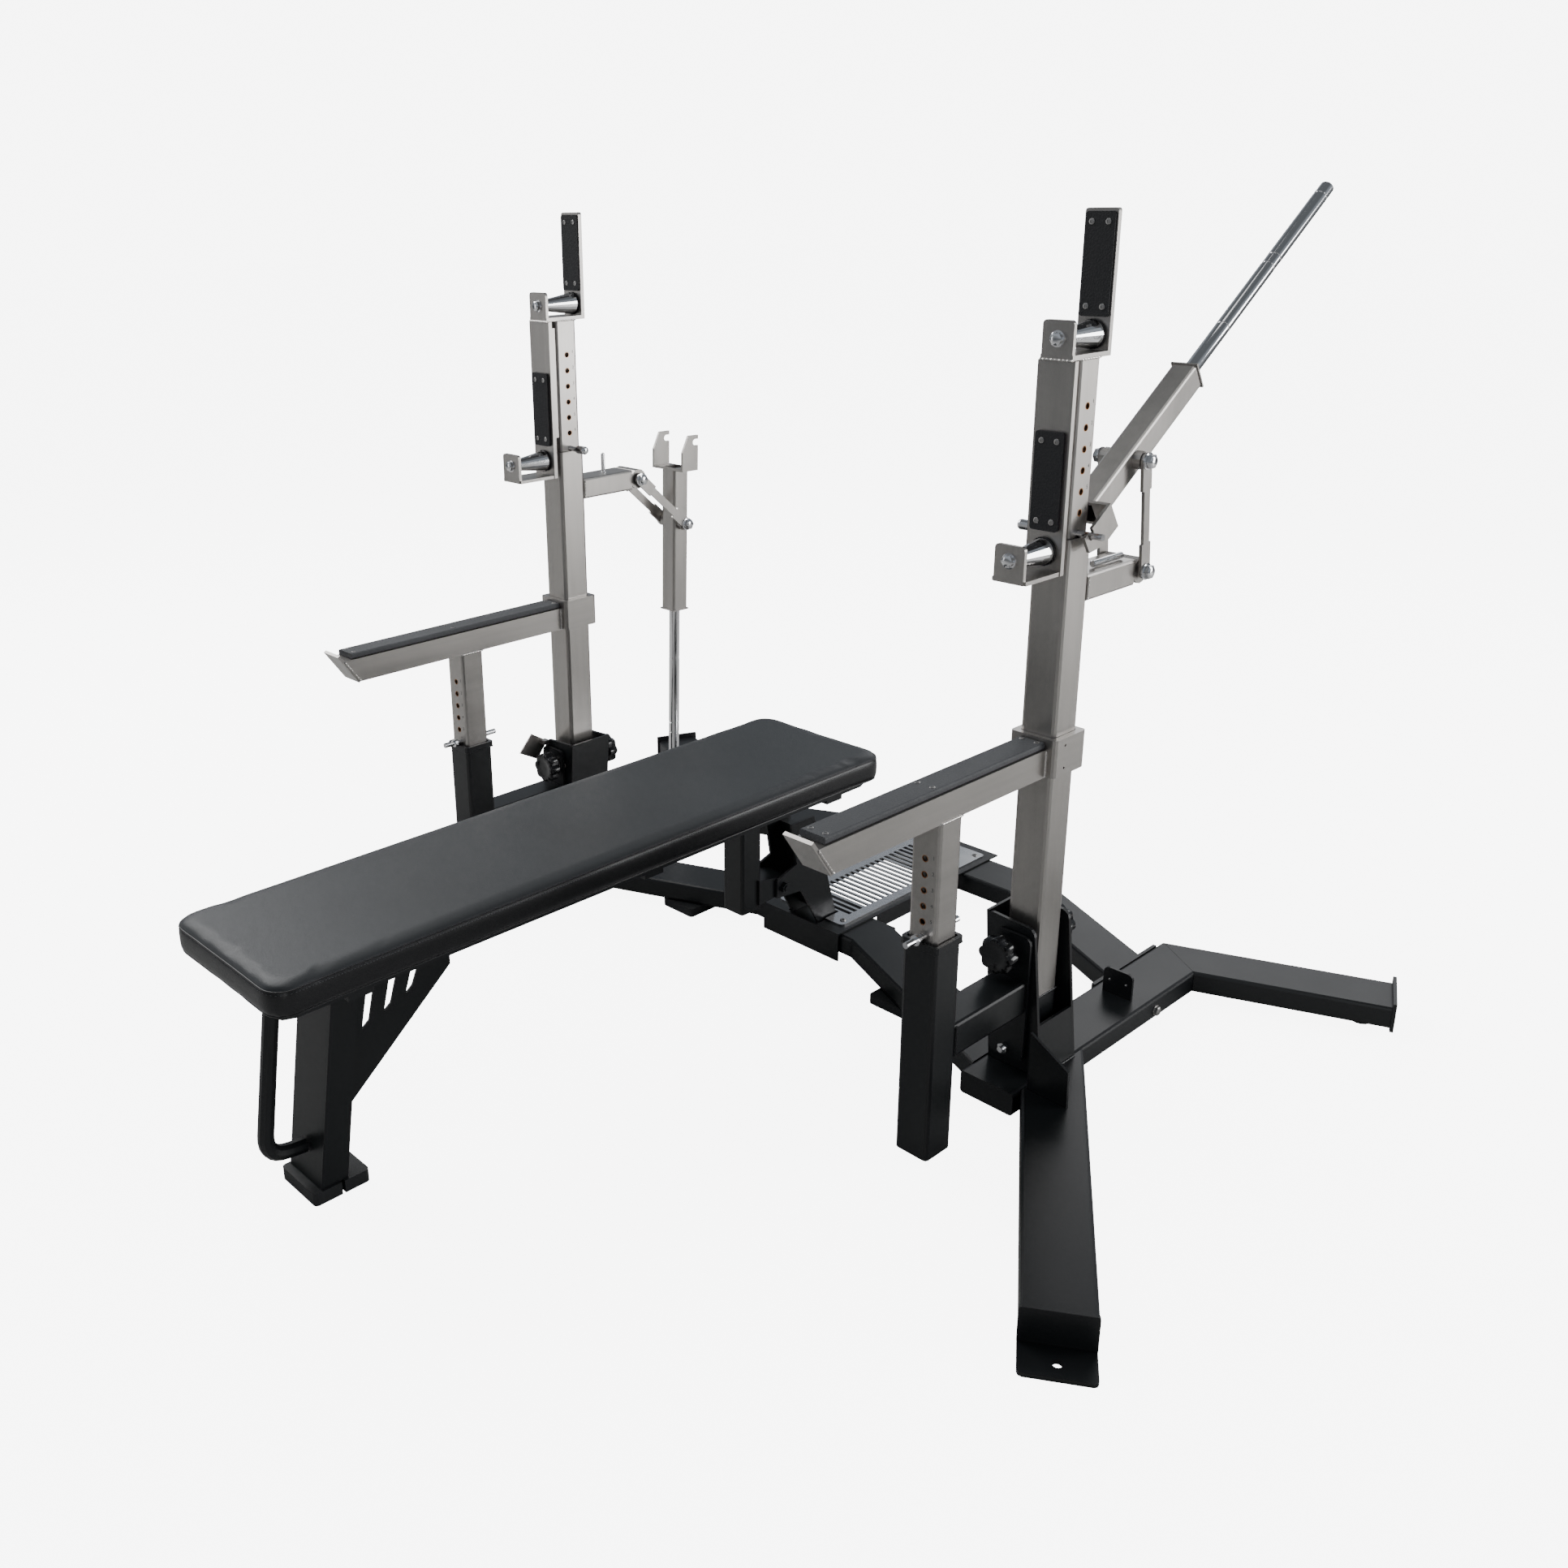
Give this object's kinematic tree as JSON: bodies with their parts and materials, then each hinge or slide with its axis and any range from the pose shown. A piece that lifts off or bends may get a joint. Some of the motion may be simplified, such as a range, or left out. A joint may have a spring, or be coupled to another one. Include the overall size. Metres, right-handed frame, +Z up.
{
  "type": "olympic bench press",
  "caption": "Flat competition bench in a two-post rack with height-adjustable bar hooks on rollers, safety arms, lift levers and a spotter step.",
  "frame": {"origin": "on the floor, under the middle of the bench's foot", "axes": "+X towards the right upright, +Y from the bench's foot end to its head end, +Z up"},
  "size_m": [1.9694, 1.8189, 1.4026],
  "materials": {
    "silver_steel": "satin clear-coated steel",
    "black_steel": "satin black powder coat",
    "chrome": "polished",
    "liner": "dark textured plastic",
    "vinyl": "charcoal vinyl",
    "rubber": "matte black rubber",
    "knob": "gloss black",
    "grating": "bright satin sheet"
  },
  "bodies": {
    "base": {"right_side_rail": "black_steel", "right_rear_leg": "black_steel", "right_front_leg": "black_steel", "right_base_foot": "rubber", "right_upright_bracket": "black_steel", "right_pivot_bolt": "chrome", "left_side_rail": "black_steel", "left_rear_leg": "black_steel", "left_front_leg": "black_steel", "left_base_foot": "rubber", "left_upright_bracket": "black_steel", "left_pivot_bolt": "chrome", "front_cross_member": "black_steel", "rear_cross_member": "black_steel", "platform_frame": "black_steel", "platform_grating": "grating", "bench_dock": "black_steel", "left_bracket_tab": "silver_steel"},
    "bench": {"bench_pad": "vinyl", "bench_board": "black_steel", "bench_frame": "black_steel", "bench_gusset": "black_steel", "bench_handle": "black_steel", "bench_foot": "rubber"},
    "right_upright": {"right_upright_tube": "silver_steel", "right_upright_sleeve": "black_steel", "right_safety_post": "black_steel"},
    "right_knob": {"right_clamp_knob": "knob"},
    "right_carriage": {"right_hook_tube": "silver_steel", "right_top_hook": "silver_steel", "right_bench_hook": "silver_steel", "right_top_liner": "liner", "right_bench_liner": "liner"},
    "right_high_roller": {"right_top_roller": "chrome"},
    "right_low_roller": {"right_bench_roller": "chrome"},
    "right_carriage_pin": {"right_height_pin": "chrome"},
    "right_safety": {"right_safety_arm": "silver_steel", "right_safety_liner": "liner"},
    "right_arm_pin": {"right_safety_pin": "chrome"},
    "right_link": {"right_lever_link": "silver_steel"},
    "right_lever": {"right_jack_lever": "silver_steel", "right_lever_handle": "chrome"},
    "left_upright": {"left_upright_tube": "silver_steel", "left_upright_sleeve": "black_steel", "left_safety_post": "black_steel"},
    "left_knob": {"left_clamp_knob": "knob"},
    "left_carriage": {"left_hook_tube": "silver_steel", "left_top_hook": "silver_steel", "left_bench_hook": "silver_steel", "left_top_liner": "liner", "left_bench_liner": "liner"},
    "left_high_roller": {"left_top_roller": "chrome"},
    "left_low_roller": {"left_bench_roller": "chrome"},
    "left_carriage_pin": {"left_height_pin": "chrome"},
    "left_safety": {"left_safety_arm": "silver_steel", "left_safety_liner": "liner"},
    "left_arm_pin": {"left_safety_pin": "chrome"},
    "left_link": {"left_lever_link": "silver_steel"},
    "left_lever": {"left_jack_lever": "silver_steel", "left_lever_handle": "chrome"}
  },
  "joints": [
    {"name": "bench_tilt", "type": "hinge", "parent": "base", "child": "bench", "pos_m": [0, 0.95, 0.17], "axis": [-1, 0, 0], "range_deg": [0, 10]},
    {"name": "right_upright_lean", "type": "hinge", "parent": "base", "child": "right_upright", "pos_m": [0.5785, 0.95, 0.095], "axis": [0, -1, 0], "range_deg": [0, 4.5]},
    {"name": "right_knob_turn", "type": "hinge", "parent": "right_upright", "child": "right_knob", "pos_m": [0.57, 0.95, 0.267], "axis": [0, 1, 0], "continuous": true},
    {"name": "right_carriage_lift", "type": "slide", "parent": "right_upright", "child": "right_carriage", "axis": [0, 0, 1], "range_m": [0, 0.0303]},
    {"name": "right_high_roller_spin", "type": "hinge", "parent": "right_carriage", "child": "right_high_roller", "pos_m": [0.5785, 0.95, 1.207], "axis": [0, 1, 0], "continuous": true},
    {"name": "right_low_roller_spin", "type": "hinge", "parent": "right_carriage", "child": "right_low_roller", "pos_m": [0.5785, 0.865, 0.9095], "axis": [0, 1, 0], "continuous": true},
    {"name": "right_height_pin_pull", "type": "slide", "parent": "right_carriage", "child": "right_carriage_pin", "axis": [-1, 0, 0], "range_m": [0, 0.1]},
    {"name": "right_safety_lift", "type": "slide", "parent": "right_upright", "child": "right_safety", "axis": [0, 0, 1], "range_m": [0, 0.125]},
    {"name": "right_safety_pin_pull", "type": "slide", "parent": "right_safety", "child": "right_arm_pin", "axis": [0, -1, 0], "range_m": [0, 0.1]},
    {"name": "right_link_swing", "type": "hinge", "parent": "right_upright", "child": "right_link", "pos_m": [0.5785, 1.125, 0.846], "axis": [1, 0, 0], "range_deg": [-4.4, 0]},
    {"name": "right_lever_swing", "type": "hinge", "parent": "right_link", "child": "right_lever", "pos_m": [0.5785, 1.10291, 1.01728], "axis": [1, 0, 0], "range_deg": [-6.1, 0]},
    {"name": "left_upright_lean", "type": "hinge", "parent": "base", "child": "left_upright", "pos_m": [-0.5785, 0.95, 0.095], "axis": [0, 1, 0], "range_deg": [0, 4.5]},
    {"name": "left_knob_turn", "type": "hinge", "parent": "left_upright", "child": "left_knob", "pos_m": [-0.57, 0.95, 0.267], "axis": [0, 1, 0], "continuous": true},
    {"name": "left_carriage_lift", "type": "slide", "parent": "left_upright", "child": "left_carriage", "axis": [0, 0, 1], "range_m": [0, 0.27]},
    {"name": "left_high_roller_spin", "type": "hinge", "parent": "left_carriage", "child": "left_high_roller", "pos_m": [-0.5785, 0.95, 1.207], "axis": [0, 1, 0], "continuous": true},
    {"name": "left_low_roller_spin", "type": "hinge", "parent": "left_carriage", "child": "left_low_roller", "pos_m": [-0.5785, 0.865, 0.9095], "axis": [0, 1, 0], "continuous": true},
    {"name": "left_height_pin_pull", "type": "slide", "parent": "left_carriage", "child": "left_carriage_pin", "axis": [1, 0, 0], "range_m": [0, 0.1]},
    {"name": "left_safety_lift", "type": "slide", "parent": "left_upright", "child": "left_safety", "axis": [0, 0, 1], "range_m": [0, 0.125]},
    {"name": "left_safety_pin_pull", "type": "slide", "parent": "left_safety", "child": "left_arm_pin", "axis": [0, -1, 0], "range_m": [0, 0.1]},
    {"name": "left_link_swing", "type": "hinge", "parent": "left_upright", "child": "left_link", "pos_m": [-0.5785, 1.125, 0.846], "axis": [1, 0, 0], "range_deg": [0, 138.5]},
    {"name": "left_lever_swing", "type": "hinge", "parent": "left_link", "child": "left_lever", "pos_m": [-0.5785, 1.25414, 0.73134], "axis": [1, 0, 0], "range_deg": [0, 25]}
  ],
  "couplings": [
    {"joint": "right_link_swing", "follows": "right_carriage_lift", "rad_per_m": -2.5125},
    {"joint": "right_lever_swing", "follows": "right_carriage_lift", "rad_per_m": -3.497}
  ]
}
